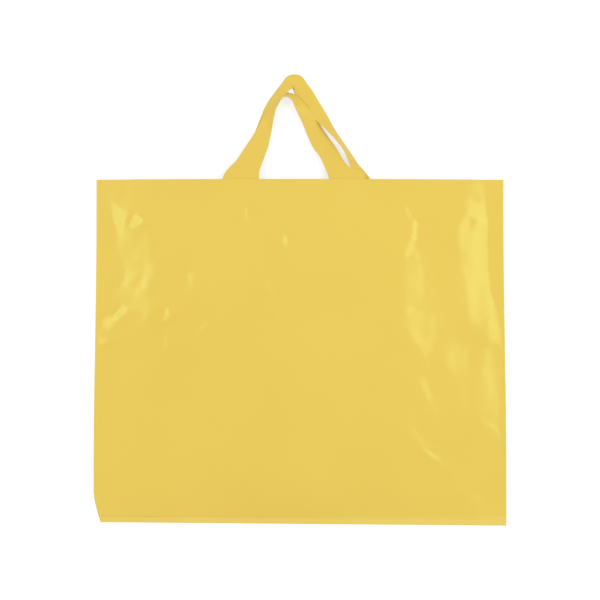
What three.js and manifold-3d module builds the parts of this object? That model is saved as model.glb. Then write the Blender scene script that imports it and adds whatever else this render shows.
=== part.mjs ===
// A film shopping bag with two soft loop handles, empty and lying on its back.
// Units are millimetres. +X runs across the bag, +Y from the bottom fold to the mouth, +Z up.
// The origin is on the surface that the bag lies on, below the middle of its outline.
import * as THREE from "three";
import { mergeVertices } from "three/addons/utils/BufferGeometryUtils.js";
import Module from "manifold-3d";

// Bag film, laid flat
const filmThickness = 0.1;
const bagWidth = 500; // across the mouth
const bagHeight = 425; // mouth to the lowest point of the bottom fold
const bottomFlare = 3.5; // how much further out each side lies at the bottom than at the mouth
const flareSpan = [0.1, 0.85]; // from where to where below the mouth, in heights of the bag
const bottomSkew = 4.3; // how much higher the bottom fold lies at its left end
const cornerTuck = 8.6; // how far the lower left corner is drawn in
const cornerTuckHeight = 30;

// How far the front stands off the back along the middle of the empty bag
const mouthRise = 12;
const bellyRise = 17;
const bellyFrom = 145; // below the mouth
const foldRise = 4;
const sideRoundness = 5; // power by which the front falls towards its side welds
const bottomRoundness = 10; // and towards its bottom fold
const creaseRise = 2.2; // of each soft crease of the front wall
const creaseReach = 21; // to each side of its ridge

// Bottom gusset and side welds
const gussetDepth = 45;
const gussetLip = 8; // how far the rear fold shows below the front fold
const rearLeafRise = 1.1; // of the gusset's leaves along the middle of the bag
const frontLeafRise = 2.4;
const plyClearance = 0.15;
const weldWidth = 3;
const weldCover = 0.2; // melted film above the top ply

// Handle strips
const stripThickness = 0.12;
const stripWidth = 44;
const gatheredWidth = 14.8; // where a hand holds it
const gatheredDepth = 2.4; // in the middle of the gathered film
const handleReach = 129.5; // above the mouth
const handleSpacing = 136.4; // between the feet of one handle
const handleShift = 4.9; // of both handles to the left of the middle of the bag
const footLength = 42; // welded to the inside of the mouth
const seatClearance = 0.3;

const { lerp, smoothstep, clamp, degToRad } = THREE.MathUtils;
const bottomY = -(bagHeight + handleReach) / 2;
const mouthY = bottomY + bagHeight;
const plyPitch = filmThickness + plyClearance;

// Height of the middle of a ply at the side welds
const plies = ["back wall", "rear leaf", "front leaf", "front wall"];
const plyLevel = (ply) => filmThickness / 2 + plies.indexOf(ply) * plyPitch;

// The bottom folds of the back and front walls, and the inner fold of the gusset.
// u runs from -1 at the left weld to 1 at the right weld.
const rearFoldY = (u) => bottomY + plyPitch + (bottomSkew * (1 - u)) / 2;
const frontFoldY = (u) => rearFoldY(u) + gussetLip;
const innerFoldY = (u) => frontFoldY(u) + gussetDepth;

// The outline of the bag: half its width at height y, on the left (side -1) or right (side 1).
// The sides run straight down from the mouth, flare a little, and run straight again above the bottom.
function halfWidth(side, y) {
  const flare = bottomFlare * smoothstep((mouthY - y) / bagHeight, ...flareSpan);
  const nearCorner = clamp(1 - (y - rearFoldY(-1)) / cornerTuckHeight, 0, 1);
  const tuck = side < 0 ? cornerTuck * nearCorner ** 2 : 0;
  return bagWidth / 2 + flare - tuck;
}
const filmEdge = (side, y) => halfWidth(side, y) - weldWidth / 2;
const acrossFilm = (u, y) => u * filmEdge(Math.sign(u), y);

// The film stays full across the middle and falls to the side welds.
const fullness = (u) => 1 - Math.abs(u) ** sideRoundness;

// The ridges of the front wall's long soft creases: points on each, from the middle of the mouth outwards
// in half widths and downwards in heights of the bag
const ridges = [
  [[0.52, 0.08], [0.57, 0.15], [0.53, 0.21], [0.556, 0.3], [0.544, 0.39]],
  [[0.544, 0.39], [0.624, 0.53], [0.628, 0.62], [0.672, 0.68]],
  [[0.568, 0.74], [0.68, 0.814], [0.832, 0.913]],
  [[0.864, 0.05], [0.832, 0.19], [0.848, 0.35], [0.928, 0.47], [0.944, 0.68]],
  [[-0.904, 0.094], [-0.832, 0.132], [-0.784, 0.26], [-0.72, 0.376]],
  [[-0.952, 0.428], [-0.856, 0.362], [-0.744, 0.287]],
];

const ridgePoint = ([across, down]) =>
  new THREE.Vector3((across * bagWidth) / 2, mouthY - down * bagHeight, 0);

function distanceToRidge(ridge, x, y) {
  const point = new THREE.Vector3(x, y, 0);
  const nearest = new THREE.Vector3();
  let distance = Infinity;
  for (let k = 1; k < ridge.length; k++) {
    const line = new THREE.Line3(ridgePoint(ridge[k - 1]), ridgePoint(ridge[k]));
    line.closestPointToPoint(point, true, nearest);
    distance = Math.min(distance, nearest.distanceTo(point));
  }
  return distance;
}

function creaseHeight(x, y) {
  let height = 0;
  for (const ridge of ridges) {
    const closeness = clamp(1 - distanceToRidge(ridge, x, y) / creaseReach, 0, 1);
    height += creaseRise * smoothstep(closeness, 0, 1);
  }
  return height;
}

// Middle of the front wall: open at the mouth, fullest below it, and down to the front fold
function frontHeight(u, y) {
  const down = clamp((mouthY - y) / (mouthY - frontFoldY(u)), 0, 1);
  const fall = down ** bottomRoundness;
  const opening = lerp(mouthRise, bellyRise, smoothstep(mouthY - y, 0, bellyFrom));
  const rise = opening - (bellyRise - foldRise) * fall;
  const crease = creaseHeight(acrossFilm(u, y), y) * (1 - fall);
  return plyLevel("front wall") + (rise + crease) * fullness(u);
}

// Middle of the gusset's leaves and of the back wall
const rearLeafHeight = (u) => plyLevel("rear leaf") + rearLeafRise * fullness(u);
const frontLeafHeight = (u) => plyLevel("front leaf") + frontLeafRise * fullness(u);
const backHeight = () => plyLevel("back wall");

// One fold as a half round from its upper ply to its lower one, bulging along y
function foldPoint(u, y, upper, lower, bulge, turned) {
  const radius = (upper - lower) / 2;
  const foldY = y + bulge * radius * Math.sin(turned * Math.PI);
  const height = lower + radius * (1 + Math.cos(turned * Math.PI));
  return new THREE.Vector3(acrossFilm(u, foldY), foldY, height);
}

// The film as one sheet, row by row: front wall, gusset leaves and back wall, with the folds between them
const wallRows = 24;
const foldRows = 4;
const leafRows = 3;
const backRows = 5;
const filmRows = [];

const evenly = (share) => share;
const crowdedToFold = (share) => (share + Math.sin((share * Math.PI) / 2)) / 2;

function addWall(rows, fromY, toY, height, spacing) {
  for (let k = 0; k <= rows; k++) {
    filmRows.push((u) => {
      const y = lerp(fromY(u), toY(u), spacing(k / rows));
      return new THREE.Vector3(acrossFilm(u, y), y, height(u, y));
    });
  }
}

function addFold(y, upper, lower, bulge) {
  for (let k = 1; k < foldRows; k++) {
    filmRows.push((u) => foldPoint(u, y(u), upper(u, y(u)), lower(u, y(u)), bulge, k / foldRows));
  }
}

const mouth = () => mouthY;
addWall(wallRows, mouth, frontFoldY, frontHeight, crowdedToFold);
addFold(frontFoldY, frontHeight, frontLeafHeight, -1);
addWall(leafRows, frontFoldY, innerFoldY, frontLeafHeight, evenly);
addFold(innerFoldY, frontLeafHeight, rearLeafHeight, 1);
addWall(leafRows, innerFoldY, rearFoldY, rearLeafHeight, evenly);
addFold(rearFoldY, rearLeafHeight, backHeight, -1);
addWall(backRows, rearFoldY, mouth, backHeight, evenly);

// A sheet as a closed solid: a box whose points are moved to the sheet's middle and out to each face.
// middle(column, row) gives the sheet's middle surface, and thickness(column, row) how thick it is there.
function sheetGeometry(middle, columns, rows, thickness) {
  const geometry = new THREE.BoxGeometry(1, 1, 1, columns, rows, 1);
  const position = geometry.getAttribute("position");
  for (let k = 0; k < position.count; k++) {
    const column = Math.round((position.getX(k) + 0.5) * columns);
    const row = Math.round((position.getY(k) + 0.5) * rows);
    const face = Math.sign(position.getZ(k));
    const across = middle(Math.min(column + 1, columns), row).sub(middle(Math.max(column - 1, 0), row));
    const along = middle(column, Math.min(row + 1, rows)).sub(middle(column, Math.max(row - 1, 0)));
    const normal = across.cross(along).normalize();
    const point = middle(column, row).addScaledVector(normal, (face * thickness(column, row)) / 2);
    position.setXYZ(k, point.x, point.y, point.z);
  }
  geometry.deleteAttribute("normal");
  geometry.deleteAttribute("uv");
  return mergeVertices(geometry, 1e-4);
}

// Side weld: the plies melted into one narrow bead from the bottom fold to the mouth
function weldGeometry(side) {
  const geometry = new THREE.BoxGeometry(1, 1, 1, 1, wallRows, 1);
  const position = geometry.getAttribute("position");
  const top = plyLevel("front wall") + filmThickness / 2 + weldCover;
  for (let k = 0; k < position.count; k++) {
    const y = lerp(rearFoldY(side) - plyPitch, mouthY, position.getY(k) + 0.5);
    const inward = (0.5 - side * position.getX(k)) * weldWidth;
    position.setXYZ(k, side * (halfWidth(side, y) - inward), y, (position.getZ(k) + 0.5) * top);
  }
  geometry.deleteAttribute("normal");
  geometry.deleteAttribute("uv");
  return mergeVertices(geometry, 1e-4);
}

const wasm = await Module();
wasm.setup();

function toSolid(geometry) {
  const vertProperties = new Float32Array(geometry.getAttribute("position").array);
  const triVerts = new Uint32Array(geometry.index.array);
  return new wasm.Manifold(new wasm.Mesh({ numProp: 3, vertProperties, triVerts }));
}

function toGeometry(solid) {
  const mesh = solid.getMesh();
  const geometry = new THREE.BufferGeometry();
  geometry.setAttribute("position", new THREE.BufferAttribute(mesh.vertProperties, 3));
  geometry.setIndex(new THREE.BufferAttribute(mesh.triVerts, 1));
  geometry.computeVertexNormals();
  return geometry;
}

function bagGeometry() {
  const columnCount = 28;
  const sideEase = 0.35; // how far the columns crowd towards the welds, where the front wall is steepest
  const middle = (column, row) => {
    const share = (2 * column) / columnCount - 1;
    const u = share * (1 + sideEase * (1 - share ** 2));
    return filmRows[row](u);
  };
  let bag = toSolid(sheetGeometry(middle, columnCount, filmRows.length - 1, () => filmThickness));
  for (const side of [-1, 1]) bag = bag.add(toSolid(weldGeometry(side)));
  return toGeometry(bag);
}

// Where each handle's strip is welded inside the mouth, and what it lies on beyond the mouth
const seatDepth = filmThickness / 2 + seatClearance + stripThickness / 2;
const backSeat = () => backHeight() + seatDepth;
const frontSeat = (x, y) => {
  const u = x / filmEdge(Math.sign(x), y);
  return frontHeight(u, y) - seatDepth;
};
const backRest = filmThickness + seatClearance;
const frontRest = backRest + gatheredDepth + seatClearance;

// The course of each strip from its left foot over the top to its right foot:
// [place across, in half spacings; place above the mouth, as a share of the reach, or below it, as a share
// of the foot; how far the strip is spread from gathered, 0, to flat, 1; its turn about its own length in
// degrees, with the outer edge up where it is below 0; how far it still lies at the height of its seat, 1,
// or on what is below it, 0]
const backCourse = [
  [-1.08, -1, 1, 0, 1],
  [-1.05, -0.5, 1, 0, 1],
  [-0.99, 0, 1, 0, 0],
  [-0.87, 0.13, 0.56, 0, 0],
  [-0.76, 0.24, 0.38, 0, 0],
  [-0.645, 0.355, 0.24, 0, 0],
  [-0.58, 0.47, 0.12, 0, 0],
  [-0.525, 0.58, 0, 0, 0],
  [-0.445, 0.7, 0, 0, 0],
  [-0.335, 0.79, 0, 0, 0],
  [-0.2, 0.875, 0.02, 0, 0],
  [-0.04, 0.925, 0.1, 0, 0],
  [0.095, 0.868, 0.2, 0, 0],
  [0.22, 0.76, 0.2, 0, 0],
  [0.4, 0.607, 0.04, -10, 0],
  [0.56, 0.502, 0, -50, 0],
  [0.71, 0.412, 0, -64, 0],
  [0.875, 0.3, 0, -72, 0],
  [0.995, 0.204, 0, -70, 0],
  [1.07, 0.125, 0, -40, 0],
  [1.06, 0.06, 0.55, -4, 0],
  [1.01, 0, 1, 0, 0],
  [1, -0.5, 1, 0, 1],
  [1, -1, 1, 0, 1],
];
const frontCourse = [
  [-1.06, -1, 1, 0, 1],
  [-1.03, -0.5, 1, 0, 1],
  [-0.97, 0, 1, 0, 1],
  [-0.84, 0.13, 0.48, 0, 0.8],
  [-0.725, 0.24, 0.28, 0, 0.5],
  [-0.615, 0.355, 0.12, 0, 0.3],
  [-0.55, 0.47, 0.02, -10, 0.15],
  [-0.49, 0.58, 0, -38, 0.05],
  [-0.41, 0.7, 0, -48, 0],
  [-0.32, 0.768, 0, -64, 0],
  [-0.19, 0.797, 0, -80, 0],
  [-0.045, 0.774, 0, -68, 0],
  [0.08, 0.687, 0, -24, 0],
  [0.21, 0.583, 0.08, -4, 0],
  [0.325, 0.47, 0.14, 0, 0.05],
  [0.445, 0.355, 0.24, 0, 0.15],
  [0.59, 0.24, 0.24, 0, 0.35],
  [0.71, 0.13, 0.28, 0, 0.7],
  [0.8, 0.06, 0.5, 0, 0.9],
  [0.89, 0, 1, 0, 1],
  [0.93, -0.5, 1, 0, 1],
  [0.95, -1, 1, 0, 1],
];

// A handle: the strip lies flat at its feet, and its film is gathered into a soft bundle between them.
function handleGeometry(course, seat, rest) {
  const rowCount = 2 * course.length;
  const columnCount = 6;
  const evenedOver = 1.5 / course.length; // part of the course over which its bends are evened out
  const line = new THREE.CatmullRomCurve3(
    course.map(([across, rise]) => {
      const x = (across * handleSpacing) / 2 - handleShift;
      const y = mouthY + rise * (rise < 0 ? footLength : handleReach);
      return new THREE.Vector3(x, y, 0);
    }),
  );
  const form = new THREE.CatmullRomCurve3(
    course.map(([, , spread, turn, lift]) => new THREE.Vector3(spread, degToRad(turn), lift)),
  );
  const up = new THREE.Vector3(0, 0, 1);
  const gathered = (row) => 1 - clamp(form.getPoint(row / rowCount).x, 0, 1);
  const acrossStrip = (column) => (2 * column) / columnCount - 1;
  const thickness = (column, row) =>
    lerp(stripThickness, gatheredDepth, gathered(row) * (1 - acrossStrip(column) ** 2));
  const middle = (column, row) => {
    const share = row / rowCount;
    const point = line.getPoint(share);
    const ahead = line.getPoint(Math.min(share + evenedOver, 1));
    const behind = line.getPoint(Math.max(share - evenedOver, 0));
    const inward = ahead.sub(behind).normalize().cross(up);
    const turn = form.getPoint(share).y * gathered(row);
    const lift = clamp(form.getPoint(share).z, 0, 1);
    const halfWide = lerp(stripWidth, gatheredWidth, gathered(row)) / 2;
    const halfDeep = thickness(columnCount / 2, row) / 2;
    const standing = Math.abs(Math.sin(turn)) * halfWide + Math.cos(turn) * halfDeep;
    const lateral = acrossStrip(column) * halfWide;
    point.addScaledVector(inward, lateral * Math.cos(turn));
    const seated = seat(point.x, Math.min(point.y, mouthY));
    point.z = lateral * Math.sin(turn) + lerp(rest + standing, seated, lift);
    return point;
  };
  const geometry = sheetGeometry(middle, columnCount, rowCount, thickness);
  geometry.computeVertexNormals();
  return geometry;
}

const film = new THREE.MeshStandardMaterial({ color: 0xeacb5f, roughness: 0.3, metalness: 0 });
const strip = new THREE.MeshStandardMaterial({ color: 0xe8c75a, roughness: 0.4, metalness: 0 });

function addPiece(name, geometry, material) {
  const mesh = new THREE.Mesh(geometry, material);
  mesh.name = name;
  bag.add(mesh);
}

const bag = new THREE.Group();
addPiece("bag_body", bagGeometry(), film);
addPiece("front_handle", handleGeometry(frontCourse, frontSeat, frontRest), strip);
addPiece("back_handle", handleGeometry(backCourse, backSeat, backRest), strip);

export default bag;
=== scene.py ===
from math import pi, radians

import bpy
import numpy as np
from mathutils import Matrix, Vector


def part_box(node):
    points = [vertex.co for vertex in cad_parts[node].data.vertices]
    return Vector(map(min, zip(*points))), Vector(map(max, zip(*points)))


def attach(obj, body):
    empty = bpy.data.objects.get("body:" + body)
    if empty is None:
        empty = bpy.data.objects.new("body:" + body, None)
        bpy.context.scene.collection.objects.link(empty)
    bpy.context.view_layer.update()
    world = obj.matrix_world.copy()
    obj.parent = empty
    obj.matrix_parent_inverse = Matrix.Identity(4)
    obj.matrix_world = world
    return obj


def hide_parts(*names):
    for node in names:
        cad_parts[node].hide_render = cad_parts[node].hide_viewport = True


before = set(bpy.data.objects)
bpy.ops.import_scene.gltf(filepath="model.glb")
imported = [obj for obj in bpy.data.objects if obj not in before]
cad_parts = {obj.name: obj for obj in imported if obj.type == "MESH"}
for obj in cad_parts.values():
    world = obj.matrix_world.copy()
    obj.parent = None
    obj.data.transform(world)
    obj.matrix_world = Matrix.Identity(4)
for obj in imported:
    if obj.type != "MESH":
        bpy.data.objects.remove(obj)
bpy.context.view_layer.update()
scene = bpy.context.scene


# Studio: a white floor that runs on into a white surround. The camera hangs straight above the bag.
# A long softbox stands along each side of it, the right one wider and the left one brighter.
class Shade:
    """One output of a shader node. Arithmetic on it adds math nodes to its tree."""

    def __init__(self, tree, socket=None):
        self.tree, self.socket = tree, socket

    def node(self, kind, settings, inputs):
        """Adds a node: its settings first, then its sockets by name or number. Gives its first output."""
        made = self.tree.nodes.new(kind)
        for name, value in settings.items():
            setattr(made, name, value)
        for name, value in inputs.items():
            if isinstance(value, Shade):
                self.tree.links.new(value.socket, made.inputs[name])
            else:
                made.inputs[name].default_value = value
        return Shade(self.tree, made.outputs[0] if made.outputs else None)

    def output(self, name):
        return Shade(self.tree, self.socket.node.outputs[name])

    def math(self, operation, *values):
        return self.node("ShaderNodeMath", {"operation": operation}, dict(enumerate(values)))

    def __add__(self, other):
        return self.math("ADD", self, other)

    __radd__ = __add__

    def __mul__(self, other):
        return self.math("MULTIPLY", self, other)

    __rmul__ = __mul__

    def __sub__(self, other):
        return self.math("SUBTRACT", self, other)

    def __rsub__(self, other):
        return self.math("SUBTRACT", other, self)


def new_material(name):
    made = bpy.data.materials.new(name)
    made.use_nodes = True
    made.node_tree.nodes.clear()
    return made, Shade(made.node_tree)


def seen(nodes):
    """1 for rays that see the background as such, 0 for rays that light the bag."""
    path = nodes.node("ShaderNodeLightPath", {}, {})
    rays = path.output("Is Camera Ray") + path.output("Is Glossy Ray") + path.output("Is Transmission Ray")
    return nodes.math("MINIMUM", rays, 1.0)


scene.view_settings.view_transform = "Standard"
white = (1.0, 1.0, 1.0, 1.0)
surround_light = 0.72
scene.world = bpy.data.worlds.new("surround")
scene.world.use_nodes = True
scene.world.node_tree.nodes.clear()
world = Shade(scene.world.node_tree)
strength = surround_light + (1.0 - surround_light) * seen(world)
background = world.node("ShaderNodeBackground", {}, {"Color": white, "Strength": strength})
world.node("ShaderNodeOutputWorld", {}, {"Surface": background})

floor_size = 60
floor_grey = (0.9, 0.9, 0.9, 1.0)
floor_glow = 1.24
glow_share = 0.55
bpy.ops.mesh.primitive_plane_add(size=floor_size)
floor = bpy.context.object
floor.name = "floor"
paper, nodes = new_material("floor_paper")
matt = nodes.node("ShaderNodeBsdfDiffuse", {}, {"Color": floor_grey})
glow = nodes.node("ShaderNodeEmission", {}, {"Color": white, "Strength": floor_glow})
surface = nodes.node("ShaderNodeMixShader", {}, {"Fac": glow_share * seen(nodes), 1: matt, 2: glow})
nodes.node("ShaderNodeOutputMaterial", {}, {"Surface": surface})
floor.data.materials.append(paper)


def softbox(name, place, size, radiance):
    """A rectangle of light, its first side level, that faces the bag."""
    light = bpy.data.lights.new(name, "AREA")
    light.shape = "RECTANGLE"
    light.size, light.size_y = size
    light.energy = radiance * pi * size[0] * size[1]
    lamp = bpy.data.objects.new(name, light)
    lamp.location = place
    lamp.rotation_euler = (-Vector(place)).to_track_quat("-Z", "Y").to_euler()
    lamp.visible_camera = False
    scene.collection.objects.link(lamp)


softbox("right_softbox", place=(1.4, 0.3, 1.78), size=(1.5, 0.74), radiance=3.7)
softbox("left_softbox", place=(-1.4, 0.5, 1.78), size=(1.5, 0.5), radiance=4.3)

frame_width = 0.7371  # of what the camera sees on the floor
camera = bpy.data.objects.new("camera", bpy.data.cameras.new("camera"))
camera.data.lens = 85
camera.data.sensor_width = 36
camera.location = (0, 0, frame_width * camera.data.lens / camera.data.sensor_width)
scene.collection.objects.link(camera)
scene.camera = camera

# Bag: one sheet of glossy yellow polyethylene film, folded down the front, in and out through a bottom
# gusset and up the back, with a narrow weld bead that melts all plies together along each side.
# The film is a little slack, so it stands off the back wall, rolls down to the welds and creases.
metre = 1000
low, high = (metre * np.array(corner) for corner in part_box("bag_body"))
mouth_y = high[1]
bag_height = high[1] - low[1]
film_thickness = 0.1
bottom_flare = 3.5  # how much further out each side lies at the bottom than at the mouth
flare_span = (0.1, 0.85)  # from where to where below the mouth, in heights of the bag
half_mouth = high[0] - bottom_flare
bottom_skew = 4.3  # how much higher the bottom fold lies at its left end
corner_tuck = 8.6  # how far the lower left corner is drawn in
corner_tuck_height = 38
corner_tuck_power = 1.5
mouth_rise = 12  # how far the front wall stands off the plies below, along the middle of the bag
belly_rise = 17
belly_from = 145  # below the mouth
fold_rise = 0.1
fold_power = 8  # by which the front wall falls to its bottom fold
left_power = 1.4  # and to the weld on either side
right_power = 1.9
power_change = (-0.2, 0.3)  # where across the bag one passes into the other
gusset_depth = 45
gusset_lip = 8  # how far the rear fold shows below the front fold
rear_leaf_rise = 0.05
front_leaf_rise = 0.1
leaf_power = 5  # by which the gusset's leaves fall to the welds
ply_pitch = 0.16
weld_width = 3
weld_cover = 0.2  # melted film above the top ply
weld_top = film_thickness + 3 * ply_pitch + weld_cover


def ease(value, start, end):
    """0 up to start, 1 from end on, and smooth between."""
    share = np.clip((value - start) / (end - start), 0, 1)
    return share * share * (3 - 2 * share)


def lerp(start, end, share):
    return start + (end - start) * share


def ply_level(ply):
    """Height of a ply at the welds, counted up from the back wall."""
    return film_thickness / 2 + ply * ply_pitch


def rear_fold_y(u):
    """The bottom edge. u runs from -1 at the left weld to 1 at the right weld."""
    return low[1] + ply_pitch + bottom_skew * (1 - u) / 2


def front_fold_y(u):
    return rear_fold_y(u) + gusset_lip


def inner_fold_y(u):
    return front_fold_y(u) + gusset_depth


def half_width(u, y):
    """From the middle of the bag to the outer edge of its weld, on the side that u is on."""
    flare = bottom_flare * ease((mouth_y - y) / bag_height, *flare_span)
    near_corner = np.clip(1 - (y - rear_fold_y(-1)) / corner_tuck_height, 0, 1)
    return half_mouth + flare - np.where(u < 0, corner_tuck * near_corner**corner_tuck_power, 0)


def film_edge(u, y):
    """From the middle of the bag to the edge of the film, in the middle of the weld."""
    return half_width(u, y) - weld_width / 2


def slack_height(u, y):
    """The front wall without its creases: open at the mouth, fullest below it, low at the front fold."""
    down = mouth_y - y
    fall = np.clip(down / (mouth_y - front_fold_y(u)), 0, 1) ** fold_power
    opening = lerp(mouth_rise, belly_rise, ease(down, 0, belly_from))
    rise = opening - (belly_rise - fold_rise) * fall
    side_power = lerp(left_power, right_power, ease(u, *power_change))
    return ply_level(3) + rise * (1 - np.abs(u) ** side_power)


# Facets that the slack film is pressed into where it was creased: the slope of each across the bag, in
# degrees, how far its edge runs out, and its outline as places across the bag and below the mouth
left_facets = [
    (4, 2, [(-250, 0), (-234, 0), (-230, 142), (-250, 155)]),
    (3, 4, [(-250, 212), (-230, 212), (-234, 355), (-250, 355)]),
    (10, 3, [(-224, 62), (-190, 60), (-190, 84), (-228, 84)]),
    (5, 1, [(-232, 14), (-182, 14), (-184, 45), (-206, 40), (-230, 27)]),
    (15, 1, [(-234, 30), (-211, 42), (-220, 71), (-230, 54)]),
    (18, 1, [(-212, 57), (-205, 44), (-189, 51), (-198, 58)]),
    (16, 1, [(-219, 130), (-213, 112), (-209, 114), (-214, 131)]),
    (13, 3, [(-190, 104), (-176, 104), (-182, 122), (-194, 122)]),
    (17, 1, [(-194, 122), (-188, 120), (-187, 135), (-194, 136)]),
    (14, 3, [(-249, 174), (-234, 166), (-226, 176), (-238, 188)]),
    (18, 2, [(-230, 168), (-217, 156), (-212, 160), (-225, 174)]),
    (19, 1, [(-168, 172), (-163, 156), (-159, 158), (-160, 174)]),
    (16, 2, [(-168, 180), (-160, 180), (-160, 208), (-167, 208)]),
    (18, 1, [(-249, 199), (-238, 199), (-238, 202), (-249, 202)]),
    (15, 2, [(-193, 154), (-184, 152), (-184, 170), (-191, 171)]),
    (17, 2, [(-138, 113), (-129, 113), (-130, 140), (-136, 140)]),
]
middle_facets = [
    (-20, 1, [(-71, 33), (-62, 33), (-61, 52), (-70, 52)]),
    (-22, 1, [(-24, 67), (-16, 66), (-13, 84), (-22, 85)]),
    (-20, 2, [(-44, 120), (-35, 120), (-34, 138), (-43, 138)]),
    (19, 2, [(-129, 186), (-117, 172), (-111, 176), (-123, 191)]),
]
right_facets = [
    (1, 2, [(231, 0), (250, 0), (250, 165), (243, 157), (233, 130)]),
    (-12, 1, [(128, 34), (133, 34), (138, 48), (133, 48)]),
    (-16, 1, [(139, 50), (145, 51), (143, 76), (137, 75)]),
    (-14, 2, [(127, 92), (134, 75), (142, 79), (134, 95)]),
    (-9, 4, [(128, 98), (150, 96), (150, 158), (130, 158)]),
    (-11, 3, [(130, 160), (146, 160), (151, 190), (137, 190)]),
    (-13, 2, [(137, 190), (151, 190), (156, 216), (151, 219)]),
    (-10, 2, [(159, 163), (165, 164), (166, 184), (157, 198)]),
    (2, 2, [(128, 211), (137, 214), (152, 231), (132, 223)]),
    (-13, 3, [(141, 243), (153, 243), (164, 270), (155, 273)]),
    (-13, 3, [(160, 278), (171, 280), (170, 292), (160, 290)]),
    (-13, 3, [(133, 307), (146, 305), (155, 326), (147, 330)]),
    (-16, 1, [(149, 331), (153, 329), (174, 344), (171, 348)]),
    (-13, 3, [(160, 324), (172, 324), (176, 335), (166, 337)]),
    (-14, 4, [(197, 381), (210, 378), (228, 391), (202, 392)]),
    (-11, 5, [(177, 218), (187, 196), (203, 205), (198, 234), (184, 242)]),
    (-3, 3, [(190, 0), (213, 0), (206, 28), (188, 48)]),
    (-7, 2, [(217, 2), (226, 2), (229, 28), (211, 30)]),
    (-10, 3, [(206, 132), (234, 130), (243, 164), (238, 178), (210, 172)]),
    (-10, 2, [(192, 60), (212, 31), (231, 28), (234, 132), (204, 138)]),
    (-12, 4, [(210, 64), (222, 33), (231, 35), (229, 134), (211, 138)]),
    (-3, 1, [(209, 49), (218, 50), (218, 56), (210, 62)]),
    (-12, 2, [(230, 187), (235, 163), (241, 165), (248, 202), (233, 201)]),
    (-9, 4, [(220, 216), (236, 204), (242, 298), (228, 300)]),
    (-11, 2, [(226, 300), (238, 296), (247, 314), (243, 318)]),
]
# Stretches that are crumpled into small facets: their slope, how far each facet strays from it, and their
# outline
crumples = [
    (11, 1, [(-219, 62), (-188, 60), (-174, 96), (-174, 150), (-184, 182), (-206, 184), (-219, 160)]),
    (-10, 3, [(123, 88), (158, 88), (163, 136), (170, 204), (159, 222), (131, 184)]),
    (-9, 3, [(135, 302), (172, 316), (186, 350), (160, 356)]),
]
crumple_width = 6
crumple_length = 11
crumple_edge = 5
crumple_seed = 8
edge_waver = 0.7
waver_reach = 5
waver_seeds = (3, 4)
# Ripples all over the front wall: their height, their reach across and down the bag, and their seed
ripples = [(0.05, 4, 6, 5), (0.1, 6, 16, 1), (0.25, 20, 45, 2)]
relief_half = 250
relief_depth = 416
relief_step = 1.7
relief_x = np.arange(-relief_half, relief_half, relief_step)
relief_down = np.arange(0, relief_depth, relief_step)
facet_pull = 150  # how much more a facet keeps its slope than the film between
settling_steps = 700


def inside(outline, x, down):
    """Which places lie within an outline."""
    crossings = np.zeros(np.broadcast(x, down).shape, int)
    for (x1, y1), (x2, y2) in zip(outline, outline[1:] + outline[:1]):
        if y1 != y2:
            between = (down >= min(y1, y2)) & (down < max(y1, y2))
            crossings += between & (x < x1 + (down - y1) * (x2 - x1) / (y2 - y1))
    return crossings % 2 == 1


def soften(values, across_reach, down_reach):
    """Evens values over the front wall out, about as far as the reach each way."""
    waves_x = across_reach * np.fft.fftfreq(len(relief_x), relief_step)
    waves_down = down_reach * np.fft.fftfreq(len(relief_down), relief_step)
    keep = np.exp(-2 * pi**2 * (waves_down[:, None] ** 2 + waves_x**2))
    return np.fft.ifft2(np.fft.fft2(values) * keep).real


def ripple(across_reach, down_reach, seed):
    """Even random waves over the front wall, about as long as their reach each way, with a spread of 1."""
    rough = np.random.default_rng(seed).standard_normal((len(relief_down), len(relief_x)))
    soft = soften(rough, across_reach, down_reach)
    return soft / soft.std()


def mosaic(seed):
    """Random values over the front wall, each even over one small facet of a crumple, with a spread of 1."""
    x, down = np.meshgrid((relief_x - relief_x[0]) / crumple_width + 1, relief_down / crumple_length + 1)
    chance = np.random.default_rng(seed)
    shape = (int(down.max()) + 2, int(x.max()) + 2)
    middle_x, middle_down = chance.random(shape), chance.random(shape)
    value = chance.standard_normal(shape)
    nearest, found = np.full(x.shape, np.inf), np.zeros(x.shape)
    for row_step in (-1, 0, 1):
        for column_step in (-1, 0, 1):
            row, column = down.astype(int) + row_step, x.astype(int) + column_step
            away = np.hypot(column + middle_x[row, column] - x, row + middle_down[row, column] - down)
            found = np.where(away < nearest, value[row, column], found)
            nearest = np.minimum(away, nearest)
    return found


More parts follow.
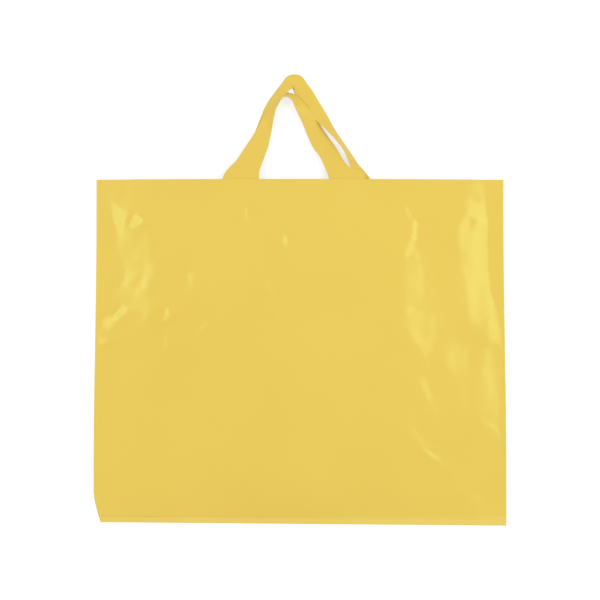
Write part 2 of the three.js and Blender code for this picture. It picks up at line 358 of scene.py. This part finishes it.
def crease_relief():
    """How far the facets lift or sink the front wall. Film keeps to their slopes and evens out between."""
    x, down = np.meshgrid(relief_x, relief_down)
    slack = slack_height(x / relief_half, mouth_y - down)
    slack_slope = np.gradient(slack, relief_step, axis=1)
    slope = np.zeros(x.shape)
    pull = np.ones(x.shape)
    wavering_x = x + edge_waver * ripple(waver_reach, waver_reach, waver_seeds[0])
    wavering_down = down + edge_waver * ripple(waver_reach, waver_reach, waver_seeds[1])
    stray = mosaic(crumple_seed)
    pressings = [(mean + reach * stray, crumple_edge, outline) for mean, reach, outline in crumples]
    for degrees, edge, outline in pressings + left_facets + middle_facets + right_facets:
        pressed = np.clip(soften(inside(outline, wavering_x, wavering_down), edge, edge), 0, 1)
        slope = lerp(slope, np.tan(np.radians(degrees)) - slack_slope, pressed)
        pull = lerp(pull, facet_pull, pressed)
    pull_x = (pull[:, 1:] + pull[:, :-1]) / 2
    pull_down = np.sqrt((pull[1:] + pull[:-1]) / 2)
    step_x = relief_step * (slope[:, 1:] + slope[:, :-1]) / 2
    # The welds and the bottom fold hold the film where it is
    loose = np.ones(x.shape)
    loose[:, 0] = loose[:, -1] = loose[-1] = 0

    def gathered_at_points(pulled_x, pulled_down):
        total = np.zeros(x.shape)
        total[:, :-1] -= pulled_x
        total[:, 1:] += pulled_x
        total[:-1] -= pulled_down
        total[1:] += pulled_down
        return total * loose

    def balance(height):
        return gathered_at_points(pull_x * np.diff(height, axis=1), pull_down * np.diff(height, axis=0))

    # The height at which all pulls are in balance, found by conjugate gradients
    height = np.zeros(x.shape)
    left_over = gathered_at_points(pull_x * step_x, np.zeros(pull_down.shape))
    search = left_over.copy()
    error = (left_over * left_over).sum()
    for step in range(settling_steps):
        pulled = balance(search)
        share = error / (search * pulled).sum()
        height += share * search
        left_over -= share * pulled
        last, error = error, (left_over * left_over).sum()
        search = left_over + search * error / last
    waves = sum(size * ripple(reach_x, reach_down, seed) for size, reach_x, reach_down, seed in ripples)
    return height + waves * loose


relief = crease_relief()
grid_end = 1.001  # keeps a place within the last cell of the grid


def relief_height(x, down):
    """The relief at any place, evened between its grid points."""
    row = np.clip(down / relief_step, 0, len(relief_down) - grid_end)
    column = np.clip((x - relief_x[0]) / relief_step, 0, len(relief_x) - grid_end)
    i, j = row.astype(int), column.astype(int)
    upper = lerp(relief[i, j], relief[i, j + 1], column - j)
    lower = lerp(relief[i + 1, j], relief[i + 1, j + 1], column - j)
    return lerp(upper, lower, row - i)


def rear_leaf_height(u, y):
    return ply_level(1) + rear_leaf_rise * (1 - np.abs(u) ** leaf_power)


def front_leaf_height(u, y):
    return ply_level(2) + front_leaf_rise * (1 - np.abs(u) ** leaf_power)


def front_height(u, y):
    """The front wall with its creases. Where it would sink lower, it lies on the plies below."""
    creased = slack_height(u, y) + relief_height(relief_half * u, mouth_y - y)
    return np.maximum(creased, front_leaf_height(u, y) + ply_pitch)


def back_height(u, y):
    return np.full(np.shape(u), ply_level(0))


# Rows and columns are close together where the film is creased and wider apart where it is plain
column_marks, column_counts = [-1, -0.55, 0.38, 1], [62, 52, 88]
row_marks, row_counts = [0, 0.8, 1], [156, 30]
front_fold_rows = 8
front_leaf_rows = 5
fold_rows = 6
rear_leaf_rows = 7
back_rows = 9


def marked(marks, counts):
    """Places from the first mark to the last, with so many even steps between one and the next."""
    spans = [np.linspace(a, b, n, endpoint=False) for a, b, n in zip(marks, marks[1:], counts)]
    return np.concatenate([*spans, marks[-1:]])


across = marked(column_marks, column_counts)
film_rows = []


def add_wall(shares, from_y, to_y, height):
    """Rows of a wall or leaf, each at a share of the way from one fold to the next."""
    for share in shares:
        y = lerp(from_y(across), to_y(across), share)
        film_rows.append((across * film_edge(across, y), y, height(across, y)))


def add_fold(rows, fold_y, upper, lower, bulge):
    """Rows of a fold: half a round from the upper ply to the lower one, which bulges down or up the bag."""
    y = fold_y(across)
    radius = (upper(across, y) - lower(across, y)) / 2
    for turned in np.linspace(0, pi, rows + 1)[1:-1]:
        row_y = y + bulge * np.abs(radius) * np.sin(turned)
        height = lower(across, y) + radius * (1 + np.cos(turned))
        film_rows.append((across * film_edge(across, row_y), row_y, height))


def mouth(u):
    return np.full(np.shape(u), mouth_y)


add_wall(marked(row_marks, row_counts), mouth, front_fold_y, front_height)
add_fold(front_fold_rows, front_fold_y, front_height, front_leaf_height, bulge=-1)
add_wall(np.linspace(0, 1, front_leaf_rows), front_fold_y, inner_fold_y, front_leaf_height)
add_fold(fold_rows, inner_fold_y, front_leaf_height, rear_leaf_height, bulge=1)
add_wall(np.linspace(0, 1, rear_leaf_rows), inner_fold_y, rear_fold_y, rear_leaf_height)
add_fold(fold_rows, rear_fold_y, rear_leaf_height, back_height, bulge=-1)
add_wall(np.linspace(0, 1, back_rows), rear_fold_y, mouth, back_height)


def quads(grid):
    """The faces of a grid of point numbers."""
    return np.stack([grid[:-1, :-1], grid[:-1, 1:], grid[1:, 1:], grid[1:, :-1]], axis=-1).reshape(-1, 4)


def sheet_points(middle, thickness):
    """Points and faces of a closed sheet about its middle surface, an array of rows, columns and x, y, z."""
    rows, columns = middle.shape[:2]
    normal = np.cross(np.gradient(middle, axis=1), np.gradient(middle, axis=0))
    normal /= np.linalg.norm(normal, axis=2, keepdims=True)
    points = np.concatenate([middle - normal * thickness / 2, middle + normal * thickness / 2])
    number = np.arange(2 * rows * columns).reshape(2, rows, columns)
    sides = [number[0], number[1], number[:, 0], number[:, -1], number[:, :, 0], number[:, :, -1]]
    return points.reshape(-1, 3), np.concatenate([quads(side) for side in sides])


sharp_edge = radians(50)


def add_mesh(name, parts, material):
    """One object in metres from points and faces in millimetres."""
    points = np.concatenate([part[0] for part in parts]) / metre
    starts = np.cumsum([0] + [len(part[0]) for part in parts[:-1]])
    faces = np.concatenate([part[1] + start for part, start in zip(parts, starts)])
    mesh = bpy.data.meshes.new(name)
    mesh.from_pydata(points.tolist(), [], faces.tolist())
    mesh.materials.append(material)
    made = bpy.data.objects.new(name, mesh)
    scene.collection.objects.link(made)
    bpy.context.view_layer.objects.active = made
    made.select_set(True)
    bpy.ops.object.mode_set(mode="EDIT")
    bpy.ops.mesh.select_all(action="SELECT")
    bpy.ops.mesh.normals_make_consistent(inside=False)
    bpy.ops.object.mode_set(mode="OBJECT")
    made.select_set(False)
    mesh.shade_smooth()
    mesh.set_sharp_from_angle(angle=sharp_edge)
    return made


weld_rows = 120
weld_rounding = 0.4
weld_shoulder = 0.7 * weld_top
# The section of a weld bead, from the foot of its outer edge over its top to the foot of its inner edge
weld_section = np.array([
    (0, 0),
    (0, weld_shoulder),
    (weld_rounding, weld_top),
    (weld_width - weld_rounding, weld_top),
    (weld_width, weld_shoulder),
    (weld_width, 0),
])
weld_end = [(0, 1, 4, 5), (1, 2, 3, 4)]


def weld_points(side):
    """A weld bead: a narrow flat bar with rounded edges from the bottom fold to the mouth."""
    y = np.linspace(low[1] if side > 0 else rear_fold_y(-1) - ply_pitch, mouth_y, weld_rows)
    outer = side * half_width(np.full(y.shape, side), y)
    points = np.empty((len(y), len(weld_section), 3))
    points[:, :, 0] = outer[:, None] - side * weld_section[:, 0]
    points[:, :, 1] = y[:, None]
    points[:, :, 2] = weld_section[:, 1]
    number = np.arange(len(y) * len(weld_section)).reshape(len(y), -1)
    around = np.concatenate([number, number[:, :1]], axis=1)
    ends = number[[0, -1]][:, weld_end].reshape(-1, 4)
    return points.reshape(-1, 3), np.concatenate([quads(around), ends])


def mixed_colour(nodes, share, first, second):
    """A mix of two colours. A Mix node takes them at its inputs 6 and 7 and gives the mix at its output 2."""
    sockets = {"Factor": share, 6: first, 7: second}
    return nodes.node("ShaderNodeMix", {"data_type": "RGBA"}, sockets).output(2)


cloud_scale = 9.0
cloud_dullness = 0.08
web_scale = (260.0, 6.0, 6.0)  # die lines are fine across the bag and long down it
die_line_depth = 0.0002
lip_light_reach = (-0.001, 0.002)  # from where to where about a fold the film is painted paler, as painted light on the lip below it
# Painted light: the paler colour painted on the lip below the front fold, for the light that lip catches
lip_light_colour = (0.86, 0.63, 0.15, 1.0)
gloss_tint = (0.55, 1.0, 0.4, 1.0)


def film_material(name, deep, pale, roughness, fold=None):
    """Glossy film: slight clouds in its colour and gloss, and faint die lines along the extruded web.
    Below the height given, about a fold, its colour is painted paler: painted light for the brighter lip
    there."""
    made, nodes = new_material(name)
    place = nodes.node("ShaderNodeTexCoord", {}, {}).output("Object")
    cloud = nodes.node("ShaderNodeTexNoise", {}, {"Vector": place, "Scale": cloud_scale, "Detail": 3.0})
    web = nodes.node("ShaderNodeMapping", {}, {"Vector": place, "Scale": web_scale})
    lines = nodes.node("ShaderNodeTexNoise", {}, {"Vector": web, "Scale": 1.0, "Detail": 1.0})
    colour = mixed_colour(nodes, cloud, deep, pale)
    if fold:
        up = nodes.node("ShaderNodeSeparateXYZ", {}, {"Vector": place}).output("Y")
        start, end = (fold + reach for reach in lip_light_reach)
        near = {"Value": up, "From Min": start, "From Max": end, "To Min": 1.0, "To Max": 0.0}
        # Painted light: the lip below the fold is painted paler, in patches that follow the clouds
        creased = nodes.node("ShaderNodeMapRange", {"interpolation_type": "SMOOTHSTEP"}, near)
        colour = mixed_colour(nodes, creased * cloud, colour, lip_light_colour)
    bump = nodes.node("ShaderNodeBump", {}, {"Strength": 0.05, "Distance": die_line_depth, "Height": lines})
    finish = {
        "Base Color": colour,
        "Roughness": roughness + cloud_dullness * cloud,
        "IOR": 1.5,
        "Specular Tint": gloss_tint,
        "Normal": bump,
    }
    surface = nodes.node("ShaderNodeBsdfPrincipled", {}, finish)
    nodes.node("ShaderNodeOutputMaterial", {}, {"Surface": surface})
    return made


film_deep = (0.795, 0.552, 0.093, 1.0)
film_pale = (0.827, 0.586, 0.105, 1.0)
film_roughness = 0.18
film = film_material("bag_film", film_deep, film_pale, film_roughness, front_fold_y(0) / metre)
bag_middle = np.array([np.stack(row, axis=-1) for row in film_rows])
bag = add_mesh("film_bag", [sheet_points(bag_middle, film_thickness), weld_points(-1), weld_points(1)], film)
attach(bag, "root")
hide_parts("bag_body")

# Handles: two strips of the same film, welded flat inside the mouth and gathered by a hand into a soft
# flat roll between. The front one lies over the back one, which shows beside it and above it.
strip_thickness = 0.12
strip_width = 44
gathered_width = 14.8
gathered_depth = 1.8
edgewise_depth = 0.3  # the share of that depth where the roll stands on edge
handle_reach = 129.5  # above the mouth
handle_spacing = 136.4  # between the feet of one handle
handle_shift = 4.9  # of both handles to the left of the middle of the bag
foot_length = 42
seat_clearance = 0.3
strip_rows = 260
half_columns = 18
same_point = 1e-4


def through(points, shares):
    """A smooth line (a centripetal Catmull-Rom curve) through points, which lie at even shares of it."""
    points = np.array(points, float)
    points = np.concatenate([[2 * points[0] - points[1]], points, [2 * points[-1] - points[-2]]])
    spot = np.clip(shares, 0, 1) * (len(points) - 3)
    k = np.minimum(spot.astype(int), len(points) - 4)
    w = (spot - k)[:, None]
    p0, p1, p2, p3 = (points[k + j] for j in range(4))

    def step(start, end):
        return np.linalg.norm(end - start, axis=1, keepdims=True) ** 0.5

    t0, t1, t2 = step(p0, p1), step(p1, p2), step(p2, p3)
    t1 = np.where(t1 < same_point, 1, t1)
    t0 = np.where(t0 < same_point, t1, t0)
    t2 = np.where(t2 < same_point, t1, t2)
    m1 = t1 * ((p1 - p0) / t0 - (p2 - p0) / (t0 + t1) + (p2 - p1) / t1)
    m2 = t1 * ((p2 - p1) / t1 - (p3 - p1) / (t1 + t2) + (p3 - p2) / t2)
    leaving = p1 * (2 * w**3 - 3 * w**2 + 1) + m1 * (w**3 - 2 * w**2 + w)
    return leaving + p2 * (3 * w**2 - 2 * w**3) + m2 * (w**3 - w**2)


# A gathered strip rolls under along both edges. Its stage is the angle that an edge has turned by.
stages = np.linspace(0.001, 1.25 * pi, 120)
half_strip = strip_width / 2
column_shares = np.linspace(0, 1, half_columns + 1)
fine_shares = np.linspace(0, 1, 400)
bend = ease(fine_shares, 0, 1)


def summed(values):
    """The sum of values from the middle of the strip out to each fine share of its half."""
    return np.concatenate([[0], np.cumsum((values[1:] + values[:-1]) / 2)]) / (len(fine_shares) - 1)


def rolled(stage):
    """Half of a section from the middle of the strip to its edge: how far out and how far down it is."""
    turn = stage * bend
    out = half_strip * np.interp(column_shares, fine_shares, summed(np.cos(turn)))
    sunk = -half_strip * np.interp(column_shares, fine_shares, summed(np.sin(turn)))
    return out, sunk


rolled_widths = np.array([rolled(stage)[0].max() for stage in stages])
heading_reach = 1.5  # of a course's points to each side, over which its heading is evened
least_sunk = 1e-6


def strip_middle(course, seat, rest):
    """The middle surface of a strip, one section to a row, and the length of its course."""
    course = np.array(course, float)
    shares = np.linspace(0, 1, strip_rows + 1)
    rise = course[:, 1]
    x = course[:, 0] * handle_spacing / 2 - handle_shift
    y = mouth_y + rise * np.where(rise < 0, foot_length, handle_reach)
    line_points = np.stack([x, y, 0 * x], axis=1)
    form_points = np.stack([course[:, 2], np.radians(course[:, 3]), course[:, 4]], axis=1)
    line = through(line_points, shares)
    form = through(form_points, shares)
    reach = heading_reach / len(course)
    heading = through(line_points, shares + reach) - through(line_points, shares - reach)
    heading /= np.linalg.norm(heading, axis=1, keepdims=True)
    inward = np.stack([heading[:, 1], -heading[:, 0]], axis=1)
    gathered = 1 - np.clip(form[:, 0], 0, 1)
    turn = form[:, 1] * gathered
    lift = np.clip(form[:, 2], 0, 1)
    half_wide = lerp(strip_width, gathered_width, gathered) / 2
    stage = np.interp(-half_wide, -rolled_widths, stages)
    points = np.empty((len(shares), 2 * half_columns + 1, 3))
    for k in range(len(shares)):
        sine, cosine = np.sin(turn[k]), np.cos(turn[k])
        out, sunk = rolled(stage[k])
        deep = gathered_depth * gathered[k] * lerp(1, edgewise_depth, sine**2)
        sunk = sunk * deep / max(-sunk.min(), least_sunk) + deep / 2
        lateral = np.concatenate([-out[:0:-1], out])
        level = np.concatenate([sunk[:0:-1], sunk])
        plan = line[k, :2] + inward[k] * (lateral * cosine - level * sine)[:, None]
        tilted = lateral * sine + level * cosine
        standing = abs(sine) * half_wide[k] + cosine * (deep + strip_thickness) / 2
        seated = seat(plan[:, 0], np.minimum(plan[:, 1], mouth_y))
        points[k, :, :2] = plan
        points[k, :, 2] = tilted + lerp(rest + standing, seated, lift[k])
    return points, np.linalg.norm(np.diff(line, axis=0), axis=1).sum()


seat_depth = film_thickness / 2 + seat_clearance + strip_thickness / 2


def back_seat(x, y):
    """Where the feet of the back strip lie, on the inside of the back wall."""
    return ply_level(0) + seat_depth + 0 * x


def front_seat(x, y):
    """Where the feet of the front strip lie, under the front wall. The sign of x says which half it is on."""
    return front_height(x / film_edge(x, y), y) - seat_depth


back_rest = film_thickness + seat_clearance
front_rest = back_rest + gathered_depth + seat_clearance

# The courses of the strips, from the left foot to the right one. A point says where it is across the bag, in
# half spacings, and above the mouth, as a share of the reach, or below it, as a share of the foot. Then come
# how far the strip is spread, how many degrees it turns on edge, and how far it is lifted to its seat.
back_course = [
    (-1.08, -1, 1, 0, 1), (-1.05, -0.5, 1, 0, 1), (-0.99, 0, 1, 0, 0), (-0.87, 0.13, 0.56, 0, 0),
    (-0.76, 0.24, 0.38, 0, 0), (-0.645, 0.355, 0.24, 0, 0), (-0.58, 0.47, 0.12, 0, 0),
    (-0.525, 0.58, 0, 0, 0), (-0.435, 0.7, 0, 28, 0), (-0.325, 0.79, 0, 34, 0), (-0.19, 0.875, 0, 28, 0),
    (-0.085, 0.926, 0.08, 6, 0), (0.01, 0.926, 0.12, 0, 0), (0.095, 0.855, 0.16, 0, 0),
    (0.22, 0.76, 0.16, 0, 0), (0.43, 0.607, 0.04, 10, 0), (0.58, 0.502, 0, 42, 0), (0.71, 0.412, 0, 58, 0),
    (0.87, 0.3, 0, 64, 0), (0.975, 0.204, 0, 55, 0), (1.055, 0.125, 0, 44, 0), (1.15, 0.06, 0.04, 40, 0),
    (1.215, 0, 0.16, 34, 0), (1.1, -0.5, 0.8, 0, 0), (1, -1, 1, 0, 1),
]
front_course = [
    (-1.06, -1, 1, 0, 1), (-1.03, -0.5, 1, 0, 1), (-0.975, 0, 1, 0, 1), (-0.86, 0.13, 0.56, 0, 0.8),
    (-0.757, 0.24, 0.42, 0, 0.5), (-0.652, 0.355, 0.27, 0, 0.3), (-0.565, 0.47, 0.1, 6, 0.15),
    (-0.495, 0.58, 0.04, 34, 0.05), (-0.41, 0.7, 0, 48, 0), (-0.32, 0.768, 0, 54, 0),
    (-0.19, 0.797, 0, 62, 0), (-0.045, 0.774, 0, 52, 0), (0.08, 0.687, 0, 24, 0), (0.21, 0.583, 0.08, 4, 0),
    (0.318, 0.47, 0.17, 0, 0.05), (0.44, 0.355, 0.26, 0, 0.15), (0.59, 0.24, 0.27, 0, 0.35),
    (0.695, 0.13, 0.34, 0, 0.7), (0.77, 0.06, 0.46, 0, 0.9), (0.917, 0, 1, 0, 1), (0.93, -0.5, 1, 0, 1),
    (0.95, -1, 1, 0, 1),
]
strip_deep = (0.785, 0.537, 0.092, 1.0)
strip_pale = (0.804, 0.557, 0.1, 1.0)
strip_roughness = 0.4
strip_film = film_material("handle_film", strip_deep, strip_pale, strip_roughness)
for name, node, course, seat, rest in (
    ("front_strip", "front_handle", front_course, front_seat, front_rest),
    ("back_strip", "back_handle", back_course, back_seat, back_rest),
):
    middle, strip_length = strip_middle(course, seat, rest)
    handle = add_mesh(name, [sheet_points(middle, strip_thickness)], strip_film)
    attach(handle, "root")
    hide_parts(node)
    strip_length / 1000
